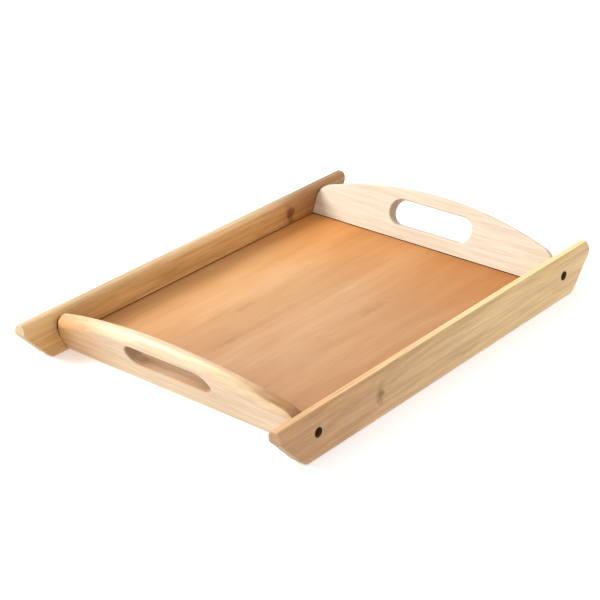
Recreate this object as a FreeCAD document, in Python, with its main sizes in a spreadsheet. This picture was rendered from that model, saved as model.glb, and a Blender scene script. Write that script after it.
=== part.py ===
import FreeCAD, Part
import math
import os
import Sketcher
from FreeCAD import Placement, Rotation, Vector

# Serving tray: two long side rails, two leaning handle panels and a base board held in grooves on all four
# sides. One counterbored wood screw fastens each end of each handle panel to a rail.
# Frame: +X along the rails, +Y across the tray, +Z up. Origin: middle of the tray, on the ground.

SIZES = [
    # alias, millimetres or degrees, what it measures
    ("rail_length", 500.0, "rail, nose to nose"),
    ("rail_height", 46.75, "rail, standing on its lower edge"),
    ("rail_thick", 15.0, "rail board thickness"),
    ("thumb_width", 5.0, "from the rail's outer face in to the arris of its thumbnail moulding"),
    ("thumb_radius", 13.0, "curve of the thumbnail moulding, from that arris down to the outer face"),
    ("rail_inner_round", 5.6, "roundover along the rail's top, inner face"),
    ("rail_ease", 0.8, "eased arrises around the rail's ends and lower edge"),
    ("nose_height", 35.5, "height at which the rail's end starts to slant under"),
    ("nose_round", 7.0, "corner between the rail's nose and the slant"),
    ("heel_back", 31.5, "from the nose back to where the slant would reach the ground"),
    ("heel_round", 14.0, "corner between the slant and the lower edge"),
    ("inner_width", 322.0, "between the rails"),
    ("inner_half", 188.5, "from the middle to a handle panel, at the top of the base"),
    ("lean", 25.0, "handle panels lean outwards from upright"),
    ("panel_thick", 13.5, "handle panel thickness"),
    ("panel_foot", 2.0, "handle panel's lower edge above the ground"),
    ("arch_crown", 59.2, "top of the arch above the base, up the panel"),
    ("arch_radius", 515.0, "arch between its two shoulders"),
    ("shoulder_radius", 25.0, "shoulder at each end of the arch"),
    ("shoulder_slope", 62.0, "slope of the outline where it meets the rail"),
    ("arch_outer_round", 9.0, "roundover along the arch, outer face"),
    ("arch_inner_round", 1.8, "roundover along the arch, inner face"),
    ("slot_length", 111.0, "hand slot, end to end"),
    ("slot_height", 28.0, "hand slot, across"),
    ("slot_rise", 30.5, "middle of the hand slot above the base, up the panel"),
    ("slot_round", 1.6, "roundover on both rims of the hand slot"),
    ("base_top", 15.0, "upper face of the base above the ground"),
    ("base_thick", 4.0, "base board thickness"),
    ("base_play", 0.5, "end play of the base in each groove"),
    ("groove_depth", 6.0, "depth of the grooves for the base"),
    ("groove_gap", 1.1, "from the base's upper face to the groove's roof"),
    ("screw_along", 199.8, "screw axis, from the middle of the tray"),
    ("screw_up", 26.0, "screw axis above the ground"),
    ("bore_width", 10.0, "counterbore diameter"),
    ("bore_deep", 9.0, "counterbore depth"),
    ("clear_width", 4.5, "clearance hole through the rail"),
    ("shank_width", 4.0, "screw shank, and the hole that it cuts in the panel"),
    ("shank_length", 34.0, "screw, under the head"),
    ("tip_length", 5.0, "screw's pointed tip"),
    ("tip_room", 1.5, "free depth past the screw's tip"),
    ("head_width", 8.0, "pan head diameter"),
    ("head_height", 2.8, "pan head height"),
    ("head_rim", 0.9, "straight rim of the pan head"),
    ("crown_width", 5.6, "pan head, across the foot of its flat cone"),
    ("crown_height", 2.24, "pan head, height of that foot"),
    ("recess_span", 4.6, "cross recess, end to end"),
    ("recess_arm", 1.1, "cross recess, width of an arm"),
    ("recess_deep", 1.6, "cross recess depth"),
]

TOLERANCE = 1e-4

document = FreeCAD.newDocument("serving_tray")


def make_sheet():
    sheet = document.addObject("Spreadsheet::Sheet", "sizes")
    for row, (alias, value, note) in enumerate(SIZES, start=1):
        sheet.set(f"A{row}", str(value))
        sheet.setAlias(f"A{row}", alias)
        sheet.set(f"B{row}", note)
    document.recompute()
    return sheet


sizes = make_sheet()


def new_body(label):
    body = document.addObject("PartDesign::Body", label)
    body.Label = label
    return body


def new_sketch(body, name, role, offset="0 mm"):
    """A sketch on one of the body's origin planes, moved along the plane's normal by a formula."""
    sketch = body.newObject("Sketcher::SketchObject", name)
    plane = next(item for item in body.Origin.OriginFeatures if item.Role == role)
    sketch.AttachmentSupport = [(plane, "")]
    sketch.MapMode = "FlatFace"
    sketch.setExpression("AttachmentOffset.Base.z", offset)
    return sketch


def formula_value(formula):
    """What a formula on the sheet comes to, as a plain number."""
    result = sizes.evalExpression(formula)
    return float(getattr(result, "Value", result))


def pin(sketch, geometry, end, across, up):
    """Hold a point of the sketch at two formulas, measured from the sketch's origin."""
    for kind, axis, formula in (("DistanceX", -2, across), ("DistanceY", -1, up)):
        if formula == "0":
            sketch.addConstraint(Sketcher.Constraint("PointOnObject", geometry, end, axis))
            continue
        value = formula_value(formula)
        number = sketch.addConstraint(Sketcher.Constraint(kind, -1, 1, geometry, end, value))
        sketch.setExpression(f"Constraints[{number}]", formula)


def draw_polygon(sketch, corners):
    """A closed outline through corners that are given as pairs of formulas."""
    points = [Vector(formula_value(across), formula_value(up), 0) for across, up in corners]
    count = len(corners)
    first = sketch.GeometryCount
    for index in range(count):
        sketch.addGeometry(Part.LineSegment(points[index], points[(index + 1) % count]), False)
    for index, (across, up) in enumerate(corners):
        before = first + (index - 1) % count
        sketch.addConstraint(Sketcher.Constraint("Coincident", before, 2, first + index, 1))
        pin(sketch, first + index, 1, across, up)


def draw_circle(sketch, across, up, width):
    """A circle with its middle at two formulas and its diameter from a third."""
    middle = Vector(formula_value(across), formula_value(up), 0)
    radius = formula_value(width) / 2
    circle = sketch.addGeometry(Part.Circle(middle, Vector(0, 0, 1), radius), False)
    pin(sketch, circle, 3, across, up)
    number = sketch.addConstraint(Sketcher.Constraint("Diameter", circle, 2 * radius))
    sketch.setExpression(f"Constraints[{number}]", width)


def add_pad(body, name, sketch, length):
    pad = body.newObject("PartDesign::Pad", name)
    pad.Profile = sketch
    pad.setExpression("Length", length)
    document.recompute()


def add_pocket(body, name, sketch, depth, along_normal=False, midplane=False):
    """Cut against the sketch's normal, or along it, or half each way. Cutting nothing is an error."""
    volume = body.Shape.Volume
    pocket = body.newObject("PartDesign::Pocket", name)
    pocket.Profile = sketch
    pocket.Reversed = along_normal
    pocket.Midplane = midplane
    pocket.setExpression("Length", depth)
    document.recompute()
    if body.Shape.Volume > volume - 1:
        raise RuntimeError(f"{body.Label}: {name} cut nothing")


def add_fillet(body, name, radius, chosen):
    """Round every edge of the body so far that the test chooses."""
    base = body.Tip
    names = [f"Edge{number}" for number, edge in enumerate(base.Shape.Edges, start=1) if chosen(edge)]
    fillet = body.newObject("PartDesign::Fillet", name)
    fillet.Base = (base, names)
    fillet.setExpression("Radius", radius)
    document.recompute()


def add_cut_box(body, name, size, corner, tilt):
    """Cut a box away. The box is turned about the body's X axis and its corner is given by formulas."""
    volume = body.Shape.Volume
    box = body.newObject("PartDesign::SubtractiveBox", name)
    for side, formula in zip(("Length", "Width", "Height"), size):
        box.setExpression(side, formula)
    box.Placement = Placement(Vector(), Rotation(Vector(1, 0, 0), tilt))
    for axis, formula in zip("xyz", corner):
        box.setExpression(f"Placement.Base.{axis}", formula)
    document.recompute()
    if body.Shape.Volume > volume - 1:
        raise RuntimeError(f"{body.Label}: {name} cut nothing")


def lies_at(edge, axis, value):
    """True if the whole edge lies in the plane where that coordinate has that value."""
    low = getattr(edge.BoundBox, f"{axis}Min")
    high = getattr(edge.BoundBox, f"{axis}Max")
    return abs(low - value) < TOLERANCE and abs(high - value) < TOLERANCE


def stands_at(edge, x, z):
    """True if the edge runs straight along Y at that height, that far to either side of the middle."""
    place = edge.BoundBox.Center.x
    return lies_at(edge, "X", place) and lies_at(edge, "Z", z) and abs(abs(place) - x) < TOLERANCE


# ---------------------------------------------------------------- side rails


def rail_board(body):
    """The board with both ends cut under."""
    half = "sizes.rail_length / 2"
    right = [
        (f"{half} - sizes.heel_back", "0"),
        (half, "sizes.nose_height"),
        (half, "sizes.rail_height"),
    ]
    left = [(f"-({across})", up) for across, up in reversed(right)]
    outline = new_sketch(body, "RailOutline", "XZ_Plane")
    draw_polygon(outline, right + left)
    add_pad(body, "RailBoard", outline, "sizes.rail_thick")


def cut_thumbnail(body):
    """Along the outer top edge: a sharp arris on top, then a curve that dies into the face."""
    radius = sizes.thumb_radius
    sweep = math.acos(1 - sizes.thumb_width / radius)
    outer = -sizes.rail_thick
    top = sizes.rail_height
    arris = Vector(outer + sizes.thumb_width, top, 0)
    start_up = top - radius * math.sin(sweep)
    corner = Vector(outer, top, 0)
    circle = Part.Circle(Vector(outer + radius, start_up, 0), Vector(0, 0, 1), radius)
    section = new_sketch(body, "ThumbnailSection", "YZ_Plane")
    curve = section.addGeometry(Part.ArcOfCircle(circle, math.pi - sweep, math.pi), False)
    side = section.addGeometry(Part.LineSegment(Vector(outer, start_up, 0), corner), False)
    over = section.addGeometry(Part.LineSegment(corner, arris), False)
    section.addConstraint(
        [
            Sketcher.Constraint("Tangent", curve, 2, side, 1),
            Sketcher.Constraint("Coincident", side, 2, over, 1),
            Sketcher.Constraint("Coincident", over, 2, curve, 1),
            Sketcher.Constraint("Horizontal", over),
            Sketcher.Constraint("Vertical", side),
        ]
    )
    pin(section, side, 2, "-sizes.rail_thick", "sizes.rail_height")
    number = section.addConstraint(Sketcher.Constraint("DistanceX", side, 2, over, 2, sizes.thumb_width))
    section.setExpression(f"Constraints[{number}]", "sizes.thumb_width")
    number = section.addConstraint(Sketcher.Constraint("Radius", curve, radius))
    section.setExpression(f"Constraints[{number}]", "sizes.thumb_radius")
    add_pocket(body, "Thumbnail", section, "sizes.rail_length", midplane=True)


def round_rail(body):
    """Soft corners at both ends, the top's two mouldings, eased arrises on the ends and lower edge."""
    half = sizes.rail_length / 2
    outer = -sizes.rail_thick
    corners = [
        ("NoseCorner", "sizes.nose_round", half, sizes.nose_height),
        ("HeelCorner", "sizes.heel_round", half - sizes.heel_back, 0),
    ]
    for name, radius, x, z in corners:
        add_fillet(body, name, radius, lambda edge, x=x, z=z: stands_at(edge, x, z))
    cut_thumbnail(body)
    add_fillet(
        body,
        "TopInner",
        "sizes.rail_inner_round",
        lambda edge: lies_at(edge, "Y", 0) and lies_at(edge, "Z", sizes.rail_height),
    )
    add_fillet(
        body,
        "EasedArris",
        "sizes.rail_ease",
        lambda edge: lies_at(edge, "Z", 0) and (lies_at(edge, "Y", outer) or lies_at(edge, "Y", 0)),
    )


def groove_rail(body):
    """A stopped groove for the base, hidden behind the handle panels at both ends."""
    reach = "sizes.inner_half + sizes.groove_depth"
    floor = "sizes.base_top - sizes.base_thick"
    roof = "sizes.base_top + sizes.groove_gap"
    groove = new_sketch(body, "BaseGroove", "XZ_Plane")
    draw_polygon(groove, [(f"-({reach})", floor), (reach, floor), (reach, roof), (f"-({reach})", roof)])
    add_pocket(body, "BaseGrooveCut", groove, "sizes.groove_depth", along_normal=True)


def bore_rail(body):
    """Counterbore and clearance hole for the screw at each end, drilled from the outer face."""
    holes = [
        ("Counterbore", "sizes.bore_width", "sizes.bore_deep"),
        ("Clearance", "sizes.clear_width", "sizes.rail_thick"),
    ]
    for name, width, depth in holes:
        sketch = new_sketch(body, name, "XZ_Plane", "sizes.rail_thick")
        for side in ("-", ""):
            draw_circle(sketch, f"{side}sizes.screw_along", "sizes.screw_up", width)
        add_pocket(body, f"{name}Cut", sketch, depth)


def make_rail(label, side):
    """One side rail. Its inner face is at local y 0 and its outer face at minus its thickness."""
    body = new_body(label)
    rail_board(body)
    round_rail(body)
    groove_rail(body)
    bore_rail(body)
    turn = 0 if side < 0 else 180
    body.Placement = Placement(Vector(), Rotation(Vector(0, 0, 1), turn))
    body.setExpression("Placement.Base.y", f"{side} * sizes.inner_width / 2")
    return body


# ------------------------------------------------------------ handle panels

# A panel's own frame: x along the panel, y up its face from the top of the base, z out through it.
# These formulas turn a distance outwards and a height above the base into that frame.


def up_panel(out, above):
    return f"({out}) * sin(sizes.lean * 1 deg) + ({above}) * cos(sizes.lean * 1 deg)"


def through_panel(out, above):
    return f"({out}) * cos(sizes.lean * 1 deg) - ({above}) * sin(sizes.lean * 1 deg)"


def panel_board(body):
    """Straight foot and an arch with a tighter shoulder at each end.

    The outline runs on down past the panel's ends, which are cut square after the arch has been rounded.
    """
    half = sizes.inner_width / 2
    slope = math.radians(sizes.shoulder_slope)
    arch = sizes.arch_radius
    shoulder = sizes.shoulder_radius
    middle_up = sizes.arch_crown - arch
    shoulder_across = half - shoulder * math.sin(slope)
    meeting = math.asin(shoulder_across / (arch - shoulder))
    shoulder_up = middle_up + (arch - shoulder) * math.cos(meeting)
    low = -(sizes.base_top + 2 * sizes.panel_foot)
    end_up = shoulder_up + shoulder * math.cos(slope)
    foot_across = half + (end_up - low) / math.tan(slope)

    def arc(centre_across, centre_up, radius, start, end):
        circle = Part.Circle(Vector(centre_across, centre_up, 0), Vector(0, 0, 1), radius)
        return Part.ArcOfCircle(circle, start, end)

    upright = math.pi / 2
    right_top, right_foot = Vector(half, end_up, 0), Vector(foot_across, low, 0)
    left_top, left_foot = Vector(-half, end_up, 0), Vector(-foot_across, low, 0)
    outline = new_sketch(body, "PanelOutline", "XY_Plane")
    crown, right_bend, left_bend, right_run, left_run, foot = outline.addGeometry(
        [
            arc(0, middle_up, arch, upright - meeting, upright + meeting),
            arc(shoulder_across, shoulder_up, shoulder, upright - slope, upright - meeting),
            arc(-shoulder_across, shoulder_up, shoulder, upright + meeting, upright + slope),
            Part.LineSegment(right_top, right_foot),
            Part.LineSegment(left_foot, left_top),
            Part.LineSegment(right_foot, left_foot),
        ],
        False,
    )
    outline.addConstraint(
        [
            Sketcher.Constraint("Tangent", crown, 1, right_bend, 2),
            Sketcher.Constraint("Tangent", right_bend, 1, right_run, 1),
            Sketcher.Constraint("Coincident", right_run, 2, foot, 1),
            Sketcher.Constraint("Coincident", foot, 2, left_run, 1),
            Sketcher.Constraint("Tangent", left_run, 2, left_bend, 2),
            Sketcher.Constraint("Tangent", left_bend, 1, crown, 2),
            Sketcher.Constraint("Horizontal", foot),
        ]
    )
    for name, curve in (("arch", crown), ("shoulder", right_bend), ("shoulder", left_bend)):
        number = outline.addConstraint(Sketcher.Constraint("Radius", curve, sizes.get(f"{name}_radius")))
        outline.setExpression(f"Constraints[{number}]", f"sizes.{name}_radius")
    pin(outline, crown, 3, "0", "sizes.arch_crown - sizes.arch_radius")
    for run, end, sign in ((right_run, 1, ""), (left_run, 2, "-")):
        across = formula_value(f"{sign}sizes.inner_width / 2")
        number = outline.addConstraint(Sketcher.Constraint("DistanceX", -1, 1, run, end, across))
        outline.setExpression(f"Constraints[{number}]", f"{sign}sizes.inner_width / 2")
    for run, sign in ((right_run, -1), (left_run, 1)):
        number = outline.addConstraint(Sketcher.Constraint("Angle", run, sign * slope))
        outline.setExpression(f"Constraints[{number}]", f"{sign} * sizes.shoulder_slope * 1 deg")
    number = outline.addConstraint(Sketcher.Constraint("DistanceY", -1, 1, foot, 1, low))
    outline.setExpression(f"Constraints[{number}]", "-(sizes.base_top + 2 * sizes.panel_foot)")
    add_pad(body, "PanelBoard", outline, "sizes.panel_thick")


def cut_hand_slot(body):
    """A slot with round ends, straight through the panel."""
    reach = "(sizes.slot_length - sizes.slot_height) / 2"
    radius = formula_value("sizes.slot_height / 2")
    middle = formula_value("sizes.slot_rise")
    end = formula_value(reach)
    slot = new_sketch(body, "HandSlot", "XY_Plane")
    arcs = []
    for side, turn in ((-1, math.pi / 2), (1, -math.pi / 2)):
        circle = Part.Circle(Vector(side * end, middle, 0), Vector(0, 0, 1), radius)
        arcs.append(slot.addGeometry(Part.ArcOfCircle(circle, turn, turn + math.pi), False))
    left, right = arcs
    above = [Vector(side * end, middle + radius, 0) for side in (1, -1)]
    below = [Vector(side * end, middle - radius, 0) for side in (-1, 1)]
    top, low = (slot.addGeometry(Part.LineSegment(*ends), False) for ends in (above, below))
    for line, one, other in ((top, right, left), (low, left, right)):
        slot.addConstraint(Sketcher.Constraint("Tangent", one, 2, line, 1))
        slot.addConstraint(Sketcher.Constraint("Tangent", line, 2, other, 1))
    slot.addConstraint(Sketcher.Constraint("Equal", left, right))
    pin(slot, left, 3, f"-{reach}", "sizes.slot_rise")
    pin(slot, right, 3, reach, "sizes.slot_rise")
    number = slot.addConstraint(Sketcher.Constraint("Radius", left, radius))
    slot.setExpression(f"Constraints[{number}]", "sizes.slot_height / 2")
    add_pocket(body, "HandSlotCut", slot, "sizes.panel_thick", along_normal=True)


def round_panel(body):
    """Soft outer arris and small inner arris along the arch, and both rims of the hand slot."""
    thick = sizes.panel_thick
    half = sizes.slot_length / 2

    def on_arch(edge, depth):
        return lies_at(edge, "Z", depth) and edge.BoundBox.YMax > sizes.arch_crown - TOLERANCE

    def on_slot(edge):
        flat = lies_at(edge, "Z", 0) or lies_at(edge, "Z", thick)
        return flat and max(-edge.BoundBox.XMin, edge.BoundBox.XMax) < half + 1

    add_fillet(body, "SlotRims", "sizes.slot_round", on_slot)
    add_fillet(body, "ArchOuter", "sizes.arch_outer_round", lambda edge: on_arch(edge, thick))
    add_fillet(body, "ArchInner", "sizes.arch_inner_round", lambda edge: on_arch(edge, 0))


def square_ends(body):
    """Cut both ends square, to the width between the rails."""
    half = "sizes.inner_width / 2"
    low = "-2 * sizes.base_top"
    for name, side in (("LowEndCut", "-"), ("HighEndCut", "")):
        waste = new_sketch(body, name, "XY_Plane")
        near, far = f"{side}{half}", f"{side}sizes.inner_width"
        draw_polygon(waste, [(near, low), (far, low), (far, "sizes.arch_crown"), (near, "sizes.arch_crown")])
        add_pocket(body, f"{name}Off", waste, "sizes.panel_thick", along_normal=True)


def seat_panel(body):
    """Cut the lower edge level with the ground and a level groove for the base into the inner face."""
    half = "sizes.inner_width / 2"
    tilt = -sizes.lean
    below = "-2 * sizes.base_top"
    inside = "-sizes.panel_thick"
    foot_height = "sizes.base_top + sizes.panel_foot"
    groove_height = "sizes.base_thick + sizes.groove_gap"
    groove_reach = "sizes.groove_depth + sizes.panel_thick"
    add_cut_box(
        body,
        "LevelFoot",
        ("sizes.inner_width", foot_height, "4 * sizes.panel_thick"),
        (f"-{half}", up_panel(inside, below), through_panel(inside, below)),
        tilt,
    )
    add_cut_box(
        body,
        "BaseGroove",
        ("sizes.inner_width", groove_height, groove_reach),
        (f"-{half}", up_panel(inside, "-sizes.base_thick"), through_panel(inside, "-sizes.base_thick")),
        tilt,
    )


def bore_panel(body):
    """The hole that each screw cuts for itself in the panel's ends."""
    out = "sizes.screw_along - sizes.inner_half"
    above = "sizes.screw_up - sizes.base_top"
    depth = "sizes.shank_length + sizes.tip_room - (sizes.rail_thick - sizes.bore_deep)"
    for name, side in (("Low", -1), ("High", 1)):
        sketch = new_sketch(body, f"{name}End", "YZ_Plane", f"{side} * sizes.inner_width / 2")
        draw_circle(sketch, up_panel(out, above), through_panel(out, above), "sizes.shank_width")
        add_pocket(body, f"{name}EndHole", sketch, depth, along_normal=side < 0)


def make_panel(label, side):
    """One handle panel, leaning outwards over the end of the tray."""
    body = new_body(label)
    panel_board(body)
    cut_hand_slot(body)
    round_panel(body)
    square_ends(body)
    seat_panel(body)
    bore_panel(body)
    lean = math.radians(sizes.lean)
    along = Vector(0, side, 0)
    up_face = Vector(side * math.sin(lean), 0, math.cos(lean))
    body.Placement = Placement(Vector(), Rotation(along, up_face, Vector(), "XYZ"))
    body.setExpression("Placement.Base.x", f"{side} * sizes.inner_half")
    body.setExpression("Placement.Base.z", "sizes.base_top")
    return body


# -------------------------------------------------------------- base board


def make_base(label):
    body = new_body(label)
    across = "(sizes.inner_half + sizes.groove_depth - sizes.base_play)"
    up = "(sizes.inner_width / 2 + sizes.groove_depth - sizes.base_play)"
    outline = new_sketch(body, "BaseOutline", "XY_Plane")
    draw_polygon(outline, [(f"-{across}", f"-{up}"), (across, f"-{up}"), (across, up), (f"-{across}", up)])
    add_pad(body, "BaseBoard", outline, "sizes.base_thick")
    body.setExpression("Placement.Base.z", "sizes.base_top - sizes.base_thick")
    return body


# ------------------------------------------------------------------ screws


def screw_blank(body):
    """Half section of a pan head screw, turned about its axis. The head's flat underside is at z 0."""
    head = "sizes.head_width / 2"
    shank = "sizes.shank_width / 2"
    straight = "-(sizes.shank_length - sizes.tip_length)"
    section = new_sketch(body, "ScrewSection", "XZ_Plane")
    corners = [
        ("0", "-sizes.shank_length"),
        (shank, straight),
        (shank, "0"),
        (head, "0"),
        (head, "sizes.head_rim"),
        ("sizes.crown_width / 2", "sizes.crown_height"),
        ("0", "sizes.head_height"),
    ]
    draw_polygon(section, corners)
    turned = body.newObject("PartDesign::Revolution", "ScrewTurned")
    turned.Profile = section
    turned.ReferenceAxis = (section, ["V_Axis"])
    turned.Angle = 360
    document.recompute()


def negated(formula):
    """The formula with its sign changed."""
    return formula[1:] if formula.startswith("-") else f"-{formula}"


def cut_recess(body):
    """The cross in the screw's head."""
    span = "sizes.recess_span / 2"
    arm = "sizes.recess_arm / 2"
    quarter = [(span, f"-{arm}"), (span, arm), (arm, arm)]
    corners = []
    for _ in range(4):
        corners += quarter
        quarter = [(negated(up), across) for across, up in quarter]
    cross = new_sketch(body, "CrossRecess", "XY_Plane", "sizes.head_height")
    draw_polygon(cross, corners)
    add_pocket(body, "CrossRecessCut", cross, "sizes.recess_deep")


def make_screw(label, side_x, side_y):
    """A wood screw whose head sits on the floor of a rail's counterbore."""
    body = new_body(label)
    screw_blank(body)
    cut_recess(body)
    seat = "(sizes.inner_width / 2 + sizes.rail_thick - sizes.bore_deep)"
    body.Placement = Placement(Vector(), Rotation(Vector(1, 0, 0), -90 * side_y))
    body.setExpression("Placement.Base.x", f"{side_x} * sizes.screw_along")
    body.setExpression("Placement.Base.y", f"{side_y} * {seat}")
    body.setExpression("Placement.Base.z", "sizes.screw_up")
    return body


# ------------------------------------------------------------ the assembly

pieces = [
    make_rail("side_rail_front", -1),
    make_rail("side_rail_rear", 1),
    make_panel("handle_panel_left", -1),
    make_panel("handle_panel_right", 1),
    make_base("base_panel"),
]
for end_name, side_x in (("left", -1), ("right", 1)):
    for face_name, side_y in (("front", -1), ("rear", 1)):
        pieces.append(make_screw(f"screw_{face_name}_{end_name}", side_x, side_y))

document.recompute()


def check_document():
    for item in document.Objects:
        if {"Invalid", "Error"} & set(item.State):
            raise RuntimeError(f"{item.Label}: {item.State}")
    for piece in pieces:
        shape = piece.Shape
        if shape.isNull() or not shape.isValid() or len(shape.Solids) != 1:
            raise RuntimeError(f"{piece.Label}: no single sound solid")


check_document()
os.makedirs("parts", exist_ok=True)
for piece in pieces:
    piece.Shape.exportStep(f"parts/{piece.Label}.step")
    print(f"{piece.Label}: {piece.Shape.Volume / 1000:.1f} cm3")
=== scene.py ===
import math

import bpy
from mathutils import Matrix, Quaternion, Vector

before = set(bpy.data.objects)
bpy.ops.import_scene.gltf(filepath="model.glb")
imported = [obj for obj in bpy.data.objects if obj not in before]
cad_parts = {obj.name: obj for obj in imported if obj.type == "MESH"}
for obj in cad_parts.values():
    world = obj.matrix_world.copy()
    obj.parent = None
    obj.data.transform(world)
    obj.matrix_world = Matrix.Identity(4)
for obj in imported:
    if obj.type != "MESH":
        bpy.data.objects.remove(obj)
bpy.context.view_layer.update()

MM = 0.001

# Every colour is linear. A timber has a pale, a deep and a growth ring colour.
WHITE = (1.0, 1.0, 1.0)
FRONT_RAIL = ((0.84, 0.60, 0.31), (0.76, 0.52, 0.25), (0.52, 0.29, 0.11))
REAR_RAIL = ((0.77, 0.51, 0.25), (0.69, 0.43, 0.19), (0.44, 0.23, 0.07))
FRONT_PANEL = ((0.80, 0.61, 0.41), (0.70, 0.49, 0.29), (0.53, 0.33, 0.16))
REAR_PANEL = ((0.67, 0.56, 0.43), (0.61, 0.48, 0.35), (0.48, 0.33, 0.19))
BASE = ((0.64, 0.39, 0.22), (0.54, 0.29, 0.13), (0.42, 0.21, 0.08))
END_GRAIN_COLOUR = (0.54, 0.43, 0.26)
# Painted shade: the colour that hollows, corners and recesses are multiplied towards.
HOLLOW_SHADE_TINT = (0.42, 0.26, 0.14)
# Painted shade in the crease where two boards meet.
SEAM_SHADE_COLOUR = (0.10, 0.045, 0.015)
# Painted shade inside the screws' counterbores.
BORE_SHADE_COLOUR = (0.07, 0.03, 0.010)
ZINC_DARK = (0.05, 0.035, 0.02)
ZINC_PALE = (0.16, 0.12, 0.08)
FLOOR_COLOUR = (0.9, 0.9, 0.9)

# A knot and a pore are these times the ring colour, and the painted highlight along a sharp edge is this
# times the pale colour.
KNOT_FACTORS = (0.50, 0.36, 0.30)
PORE_FACTORS = (0.45, 0.45, 0.45)
EDGE_HIGHLIGHT_FACTORS = (1.25, 1.25, 1.25)

# How often each pattern repeats in a millimetre, along the grain and across it.
TONE = (0.0035, 0.022)
RING_DRIFT = (0.0045, 0.02)
RING_RIPPLE = (0.03, 0.15)
RING_STRENGTH = (0.008, 0.12)
FIBRES = (0.035, 1.5)
STREAKS = (0.010, 0.28)
PORES = (0.16, 2.0)
KNOT_WOBBLE = 0.12

# Where the pith lies beside the board, in millimetres across the grain.
PITH = (38, -52)

# Masks over a part of the unit normal, from none to full.
END_FACE = (0.55, 0.90)
LEVEL_TOP = (0.82, 0.95)
ARCHED_TOP = (0.885, 0.76)
# The painted highlight along sharp edges: its mask, and the radius over which an edge is found.
EDGE_HIGHLIGHT = (0.995, 0.85)
EDGE_HIGHLIGHT_RADIUS = 1.2 * MM

# The dark line where two boards meet is painted shade in the crease: how near they are in millimetres, and
# the mask over that nearness.
SEAM_REACH = 2
SEAM = (0.2, 0.6)

# The screws' counterbores, in millimetres: distance from the middle of the tray, height and radius.
BORE_ALONG = 199.8
BORE_UP = 26.0
BORE_RADIUS = 5.0

# The camera: its places in metres, its roll in degrees, and its lens and sensor in millimetres.
EYE = (-1.1769, -1.0297, 0.8042)
TARGET = (-0.0401, -0.0179, 0.0467)
ROLL = -2.25
LENS = 101.5
SENSOR_WIDTH = 36

# The studio, in metres and watts. The floor is just clear of the rails' lower edges.
KEY_PLACE = (-1.6, 2.1, 1.7)
KEY_SIZE = 1.4
KEY_POWER = 100
SKY_STRENGTH = 0.92
FLOOR_REACH = 6.0
FLOOR_HEIGHT = -0.2 * MM
FLOOR_GLOW = 0.3


# ---------------------------------------------------------------- shader graphs


class Graph:
    """A material whose shader nodes are added one call at a time."""

    def __init__(self, name):
        self.material = bpy.data.materials.new(name)
        self.material.use_nodes = True
        self.tree = self.material.node_tree
        self.tree.nodes.clear()

    def node(self, kind, inputs=None, **settings):
        """Add a node. Inputs are keyed by socket name or number, and are values or other nodes' outputs."""
        node = self.tree.nodes.new(kind)
        for setting, value in settings.items():
            setattr(node, setting, value)
        for socket, value in (inputs or {}).items():
            if isinstance(value, bpy.types.NodeSocket):
                self.tree.links.new(value, node.inputs[socket])
            else:
                node.inputs[socket].default_value = value
        return node

    def object_place(self):
        """The position on the object, in metres."""
        return self.node("ShaderNodeTexCoord").outputs["Object"]

    def calc(self, operation, first, second=0.0):
        return self.node("ShaderNodeMath", {0: first, 1: second}, operation=operation).outputs[0]

    def plus(self, total, *scaled):
        """The total plus each value times its factor."""
        for value, factor in scaled:
            total = self.calc("ADD", total, self.calc("MULTIPLY", value, factor))
        return total

    def length(self, vector):
        return self.node("ShaderNodeVectorMath", {0: vector}, operation="LENGTH").outputs["Value"]

    def dot(self, first, second):
        inputs = {0: first, 1: second}
        return self.node("ShaderNodeVectorMath", inputs, operation="DOT_PRODUCT").outputs["Value"]

    def split(self, vector):
        """The vector's X, Y and Z."""
        return self.node("ShaderNodeSeparateXYZ", {0: vector}).outputs

    def stretch(self, vector, scale, shift=(0, 0, 0)):
        inputs = {"Vector": vector, "Scale": scale, "Location": shift}
        return self.node("ShaderNodeMapping", inputs).outputs[0]

    def remap(self, value, low, high, to_low=0.0, to_high=1.0):
        """Low..high becomes to_low..to_high with soft ends, and stays inside that range."""
        inputs = {"Value": value, "From Min": low, "From Max": high, "To Min": to_low, "To Max": to_high}
        return self.node("ShaderNodeMapRange", inputs, interpolation_type="SMOOTHSTEP").outputs["Result"]

    def blend(self, factor, first, second, kind="MIX"):
        """Mix two colours. Sockets 6 and 7 take them, because the node's socket names repeat."""
        inputs = {0: factor, 6: opaque(first), 7: opaque(second)}
        return self.node("ShaderNodeMix", inputs, data_type="RGBA", blend_type=kind).outputs[2]

    def noise(self, vector, scale=1.0, detail=2.0, roughness=0.5):
        inputs = {"Vector": vector, "Scale": scale, "Detail": detail, "Roughness": roughness}
        return self.node("ShaderNodeTexNoise", inputs).outputs["Fac"]

    def grain_noise(self, space, repeats, shift=(0, 0, 0), **settings):
        """Noise drawn out along the grain, which runs along X."""
        return self.noise(self.stretch(space, drawn_out(repeats), shift), **settings)

    def ramp(self, value, stops):
        """Colours along 0..1 from two stops, each its place and its colour."""
        node = self.node("ShaderNodeValToRGB", {"Fac": value})
        for element, (place, colour) in zip(node.color_ramp.elements, stops):
            element.position = place
            element.color = opaque(colour)
        return node.outputs["Color"]

    def bump(self, height, strength, depth):
        """The normal over a height pattern that is this many millimetres deep."""
        inputs = {"Height": height, "Strength": strength, "Distance": depth * MM}
        return self.node("ShaderNodeBump", inputs).outputs[0]

    def surface(self, inputs):
        """End the graph in one Principled shader, and give the finished material."""
        shader = self.node("ShaderNodeBsdfPrincipled", inputs)
        self.node("ShaderNodeOutputMaterial", {"Surface": shader.outputs[0]})
        return self.material


def opaque(colour):
    """A plain colour with its alpha. A node's output stays as it is."""
    return (*colour, 1) if isinstance(colour, tuple) else colour


def times(colour, factors):
    """The colour times the factors, up to white."""
    return tuple(min(1, part * factor) for part, factor in zip(colour, factors))


def drawn_out(repeats):
    """A pattern's scale from how often it repeats along the grain and across it."""
    along, across = repeats
    return along, across, across


# ------------------------------------------------------------------------ wood


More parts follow.
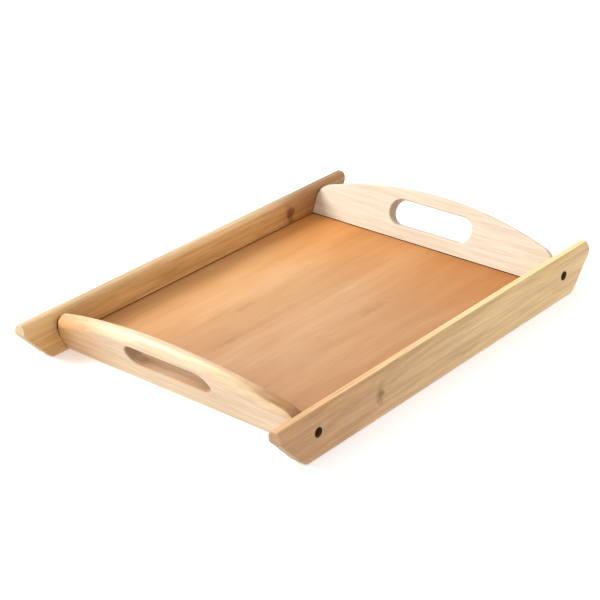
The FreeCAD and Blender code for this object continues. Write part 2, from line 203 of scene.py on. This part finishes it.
def along_grain(graph, at, along):
    """A place on the object in millimetres, turned so that the grain runs along X."""
    turn = math.pi / 2 if along == "Y" else 0
    inputs = {"Vector": at, "Scale": (1 / MM,) * 3, "Rotation": (0, 0, -turn)}
    return graph.node("ShaderNodeMapping", inputs).outputs[0]


def knot_mask(graph, place, knots):
    """1 at a knot's middle and 0 from its rim outwards. A knot is its middle and its three radii."""
    total = 0.0
    for middle, radii in knots:
        scale = tuple(1 / radius for radius in radii)
        shift = tuple(-part / radius for part, radius in zip(middle, radii))
        away = graph.length(graph.stretch(place, scale, shift))
        wobble = graph.calc("SUBTRACT", graph.noise(place, KNOT_WOBBLE, detail=3), 0.5)
        total = graph.calc("MAXIMUM", total, graph.remap(graph.plus(away, (wobble, 1.3)), 1.15, 0.0))
    return total


def ring_lines(graph, space, knot, spacing, wander):
    """Growth rings around the pith, bent by the knots: 0 in early wood, 1 in the dark late wood."""
    radius = graph.length(graph.stretch(space, (0, 1, 1), (0, *PITH)))
    drift = graph.grain_noise(space, RING_DRIFT, detail=3, roughness=0.55)
    ripple = graph.grain_noise(space, RING_RIPPLE, detail=2)
    moved = graph.plus(radius, (drift, wander), (ripple, spacing * 0.6), (knot, spacing * 2.2))
    phase = graph.calc("FRACT", graph.calc("DIVIDE", moved, spacing))
    line = graph.calc("MULTIPLY", graph.remap(phase, 0.15, 0.86), graph.remap(phase, 0.99, 0.90))
    strength = graph.grain_noise(space, RING_STRENGTH, (7, 3, 5), detail=1)
    return graph.calc("MULTIPLY", line, graph.remap(strength, 0.3, 0.7, 0.25, 1.0))


def pore_mask(graph, space):
    """1 in short pores that lie along the grain."""
    inputs = {"Vector": graph.stretch(space, drawn_out(PORES)), "Scale": 1.0}
    cells = graph.node("ShaderNodeTexVoronoi", inputs)
    return graph.remap(cells.outputs["Distance"], 0.26, 0.10)


def bore_mask(graph, place):
    """1 inside the screws' counterbores and on their rims, where the shade in the bores is painted dark."""
    along, _, up = graph.split(place)
    across = graph.calc("POWER", graph.calc("SUBTRACT", graph.calc("ABSOLUTE", along), BORE_ALONG), 2.0)
    above = graph.calc("POWER", graph.calc("SUBTRACT", up, BORE_UP), 2.0)
    away = graph.calc("SQRT", graph.calc("ADD", across, above))
    return graph.remap(away, BORE_RADIUS + 0.7, BORE_RADIUS - 0.2)


def nearness(graph, reach, own=False):
    """0 in the open, rising to 1 where surfaces, or with own only the board's, are closer than the reach."""
    settings = {"samples": 8, "only_local": own}
    open_sky = graph.node("ShaderNodeAmbientOcclusion", {"Distance": reach * MM}, **settings).outputs["AO"]
    return graph.calc("SUBTRACT", 1.0, open_sky)


def timber_colour(graph, space, colours, rings, fibre, contrast):
    """Drifting tone and growth rings, with fibres and wider streaks lighter or darker by the contrast."""
    pale, deep, late = colours
    tone = graph.grain_noise(space, TONE, detail=4, roughness=0.6)
    colour = graph.blend(graph.remap(tone, 0.3, 0.7), pale, deep)
    colour = graph.blend(rings, colour, late)

    streak = graph.grain_noise(space, STREAKS, (2, 9, 4), detail=3)
    fibre_shade = graph.remap(fibre, 0.25, 0.75, -0.07 * contrast, 0.07 * contrast)
    streak_shade = graph.remap(streak, 0.3, 0.7, -0.06 * contrast, 0.06 * contrast)
    value = graph.calc("ADD", graph.calc("ADD", fibre_shade, streak_shade), 1.0)
    return graph.node("ShaderNodeHueSaturation", {"Value": value, "Color": colour}).outputs[0]


def tint_mask(graph, at, normal, stretch_of_board, faces):
    """1 along a stretch of the board, on "all" faces, on those "not level", or only on an "arch" top."""
    axis, start, full = stretch_of_board
    mask = graph.remap(graph.split(at)[axis], start * MM, full * MM)
    if faces == "not level":
        level = graph.remap(graph.split(normal)["Z"], *LEVEL_TOP)
        mask = graph.calc("MULTIPLY", mask, graph.calc("SUBTRACT", 1.0, level))
    elif faces == "arch":
        outward = graph.calc("ABSOLUTE", graph.split(normal)["X"])
        mask = graph.calc("MULTIPLY", mask, graph.remap(outward, *ARCHED_TOP))
    return mask


def wood(
    name, along, shift, colours, contrast, knots=(), knot_depth=0.85, spacing=4.6, wander=26.0, ring=0.30,
    pores=0.30, hollow_shade=None, tints=(), top_light=WHITE, bored=False, rough=0.34,
):
    """Lacquered timber: drifting tone, growth rings, fibres, pores, knots, end grain, painted highlights
    along sharp edges and painted shade in the seams.

    along is the grain's axis, and shift moves the board through its tree, in millimetres.
    knot_depth, ring and pores say how strongly each of these shows.
    spacing is the rings', and wander how far they drift along the board, in millimetres.
    hollow_shade is painted shade that deepens the colour in hollows, corners and recesses: how much, how far
    out of them in millimetres, and whether only the board's own hollows count.
    A tint is a stretch of the board, a colour to multiply by, and the faces that it is for. The stretch is an
    axis, where the tint starts and where it is full, in millimetres. top_light multiplies level tops: painted
    light and shade for how the light falls on them.
    bored is for a board with counterbores. rough is the lacquer's roughness where it is smoothest.
    """
    graph = Graph(name)
    pale, _, late = colours
    at = graph.object_place()
    place = along_grain(graph, at, along)
    space = graph.stretch(place, (1, 1, 1), shift)
    normal = graph.node("ShaderNodeNewGeometry").outputs["Normal"]

    knot = knot_mask(graph, place, knots)
    rings = ring_lines(graph, space, knot, spacing, wander)
    fibre = graph.grain_noise(space, FIBRES, detail=5, roughness=0.65)
    pore = pore_mask(graph, space)
    axis = (1, 0, 0) if along == "X" else (0, 1, 0)
    end_grain = graph.remap(graph.calc("ABSOLUTE", graph.dot(normal, axis)), *END_FACE)

    colour = timber_colour(graph, space, colours, graph.calc("MULTIPLY", rings, ring), fibre, contrast)
    colour = graph.blend(graph.calc("MULTIPLY", pore, pores), colour, times(late, PORE_FACTORS))
    brown = graph.blend(knot, colour, times(late, KNOT_FACTORS))
    colour = graph.blend(graph.remap(knot, 0.05, 1.0, 0.0, knot_depth), colour, brown)
    colour = graph.blend(graph.calc("MULTIPLY", end_grain, 0.7), colour, END_GRAIN_COLOUR)

    # Painted shade: the colour deepens where other surfaces are near, in hollows, corners and recesses.
    if hollow_shade:
        strength, reach, own = hollow_shade
        hollow = graph.calc("MULTIPLY", nearness(graph, reach, own), strength)
        colour = graph.blend(hollow, colour, HOLLOW_SHADE_TINT, "MULTIPLY")
    for stretch_of_board, tint, faces in tints:
        colour = graph.blend(tint_mask(graph, at, normal, stretch_of_board, faces), colour, tint, "MULTIPLY")
    # Painted light and shade on level tops, for how the light falls on them.
    level = graph.remap(graph.split(normal)["Z"], *LEVEL_TOP)
    colour = graph.blend(level, colour, top_light, "MULTIPLY")

    # Painted highlight: lighter along sharp edges, where they catch the light.
    rounded = graph.node("ShaderNodeBevel", {"Radius": EDGE_HIGHLIGHT_RADIUS}, samples=4).outputs["Normal"]
    edge_highlight = graph.remap(graph.dot(normal, rounded), *EDGE_HIGHLIGHT)
    colour = graph.blend(graph.calc("MULTIPLY", edge_highlight, 0.30), colour, times(pale, EDGE_HIGHLIGHT_FACTORS))
    # Painted shade in the creases where boards meet.
    seam_shade = graph.remap(nearness(graph, SEAM_REACH), *SEAM)
    colour = graph.blend(graph.calc("MULTIPLY", seam_shade, 0.8), colour, SEAM_SHADE_COLOUR)
    # Painted shade: the counterbores' walls and rims are painted dark.
    if bored:
        colour = graph.blend(bore_mask(graph, place), colour, BORE_SHADE_COLOUR)

    height = graph.plus(graph.calc("MULTIPLY", fibre, 0.5), (rings, -0.25), (pore, -0.6))
    lacquer = graph.remap(fibre, 0.2, 0.8, rough, rough + 0.13)
    return graph.surface({
        "Base Color": colour,
        "Roughness": graph.plus(lacquer, (end_grain, 0.15)),
        "Normal": graph.bump(height, strength=0.25, depth=0.12),
        "Specular IOR Level": 0.35,
    })


def screw_metal():
    """Dull zinc, darker and rougher in blotches."""
    graph = Graph("screw_zinc")
    place = graph.object_place()
    blotch = graph.noise(place, 900, detail=4, roughness=0.6)
    scratch = graph.noise(graph.stretch(place, (6000, 6000, 400)), detail=2)
    return graph.surface({
        "Base Color": graph.ramp(blotch, [(0.3, ZINC_DARK), (0.7, ZINC_PALE)]),
        "Metallic": 0.9,
        "Roughness": graph.remap(blotch, 0.2, 0.8, 0.35, 0.6),
        "Normal": graph.bump(scratch, strength=0.2, depth=0.05),
    })


def dress_nodes():
    """Give every CAD node its finished material."""
    looks = {
        "side_rail_front": wood(
            "rail_front_wood", "X", (0, 0, 0), FRONT_RAIL, contrast=1.9, bored=True,
            knots=[((-111, -176, 24), (9, 9, 17))],
            # Painted shade: the rail darkens towards its end at -X, where less light reaches its face.
            tints=[(("X", 200, -250), (0.68, 0.54, 0.50), "all")],
            # Painted light: the rail's top is paler where the light falls on it.
            top_light=(1.24, 1.28, 1.30),
        ),
        "side_rail_rear": wood(
            "rail_rear_wood", "X", (310, 40, 25), REAR_RAIL, contrast=1.9, bored=True,
            knots=[((150, 161, 26), (14, 9, 20))],
            # Painted shade in its hollows and corners, and painted shade that deepens and turns more orange
            # low on the rail; it also darkens towards its end at +X.
            hollow_shade=(0.25, 45, False),
            tints=[
                (("X", 90, 190), (0.58, 0.46, 0.36), "all"),
                (("Z", 42, 20), (1.0, 0.90, 0.74), "all"),
            ],
            # Painted light and shade on the top: a little darker and cooler.
            top_light=(0.90, 0.92, 1.10),
        ),
        "handle_panel_left": wood(
            "panel_left_wood", "Y", (90, 700, 12), FRONT_PANEL, contrast=1.6,
            # Painted shade in the hand slot, the rear rail's painted shadow over the board's end at +Y, and
            # painted shade on the arch's shoulder at -Y.
            hollow_shade=(2.6, 42, True),
            tints=[
                (("Y", 50, 160), (0.84, 0.62, 0.40), "not level"),
                (("Y", -80, -145), (0.52, 0.38, 0.25), "arch"),
            ],
            # Painted shade on the level top: a little darker and less yellow.
            top_light=(0.95, 0.90, 0.88),
        ),
        "handle_panel_right": wood(
            "panel_right_wood", "Y", (520, 60, 33), REAR_PANEL, contrast=1.6, ring=0.16,
            # Painted shade in the hand slot and the board's other hollows.
            hollow_shade=(1.2, 36, True),
        ),
        "base_panel": wood(
            "base_veneer", "X", (40, 15, 8), BASE, contrast=0.45,
            knots=[((-108, 21, 15), (34, 6, 8)), ((-40, 60, 15), (45, 7, 8)), ((40, -50, 15), (50, 8, 8))],
            knot_depth=0.22, spacing=19, wander=70, ring=0.12, pores=0.10,
            # Painted shade and warm bounced light: the base turns deeper and more orange in its corners and
            # towards the rails and the panels.
            hollow_shade=(0.75, 34, False),
            tints=[
                (("Y", 10, 150), (1.12, 0.99, 0.70), "all"),
                (("X", 20, 170), (1.00, 0.80, 0.52), "all"),
                (("Y", 60, -150), (0.84, 0.76, 0.66), "all"),
                (("X", 20, -160), (0.90, 0.87, 0.86), "all"),
            ],
            rough=0.52,
        ),
    }
    metal = screw_metal()
    for name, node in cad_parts.items():
        node.data.materials.clear()
        node.data.materials.append(looks.get(name, metal))


# ------------------------------------------------------------------- the studio


def aimed(place, target):
    """The rotation that points a camera or a light from its place at a target."""
    return (Vector(target) - Vector(place)).to_track_quat("-Z", "Y")


def add_object(name, data, place, rotation):
    thing = bpy.data.objects.new(name, data)
    thing.location = place
    thing.rotation_mode = "QUATERNION"
    thing.rotation_quaternion = rotation
    bpy.context.collection.objects.link(thing)
    return thing


def add_camera():
    camera = bpy.data.cameras.new("camera")
    camera.sensor_width = SENSOR_WIDTH
    camera.lens = LENS
    roll = Quaternion((0, 0, 1), math.radians(ROLL))
    bpy.context.scene.camera = add_object("camera", camera, EYE, aimed(EYE, TARGET) @ roll)


def add_key_light():
    """A square softbox aimed at the middle of the tray."""
    lamp = bpy.data.lights.new("key", "AREA")
    lamp.size = KEY_SIZE
    lamp.energy = KEY_POWER
    add_object("key", lamp, KEY_PLACE, aimed(KEY_PLACE, (0, 0, 0)))


def add_sky():
    """Even white light from all round."""
    world = bpy.data.worlds.new("studio")
    world.use_nodes = True
    background = world.node_tree.nodes["Background"]
    background.inputs["Color"].default_value = opaque(WHITE)
    background.inputs["Strength"].default_value = SKY_STRENGTH
    bpy.context.scene.world = world


def add_floor():
    """A pale floor that glows a little and throws no light back up at the tray."""
    mesh = bpy.data.meshes.new("floor")
    corners = [
        (across * FLOOR_REACH, along * FLOOR_REACH, FLOOR_HEIGHT)
        for across, along in ((-1, -1), (1, -1), (1, 1), (-1, 1))
    ]
    mesh.from_pydata(corners, [], [(0, 1, 2, 3)])
    mesh.materials.append(Graph("pale_floor").surface({
        "Base Color": opaque(FLOOR_COLOUR),
        "Roughness": 0.9,
        "Emission Color": opaque(WHITE),
        "Emission Strength": FLOOR_GLOW,
    }))
    floor = bpy.data.objects.new("floor", mesh)
    floor.visible_diffuse = False
    bpy.context.collection.objects.link(floor)


dress_nodes()
add_camera()
add_floor()
add_sky()
add_key_light()
bpy.context.scene.view_settings.view_transform = "Standard"
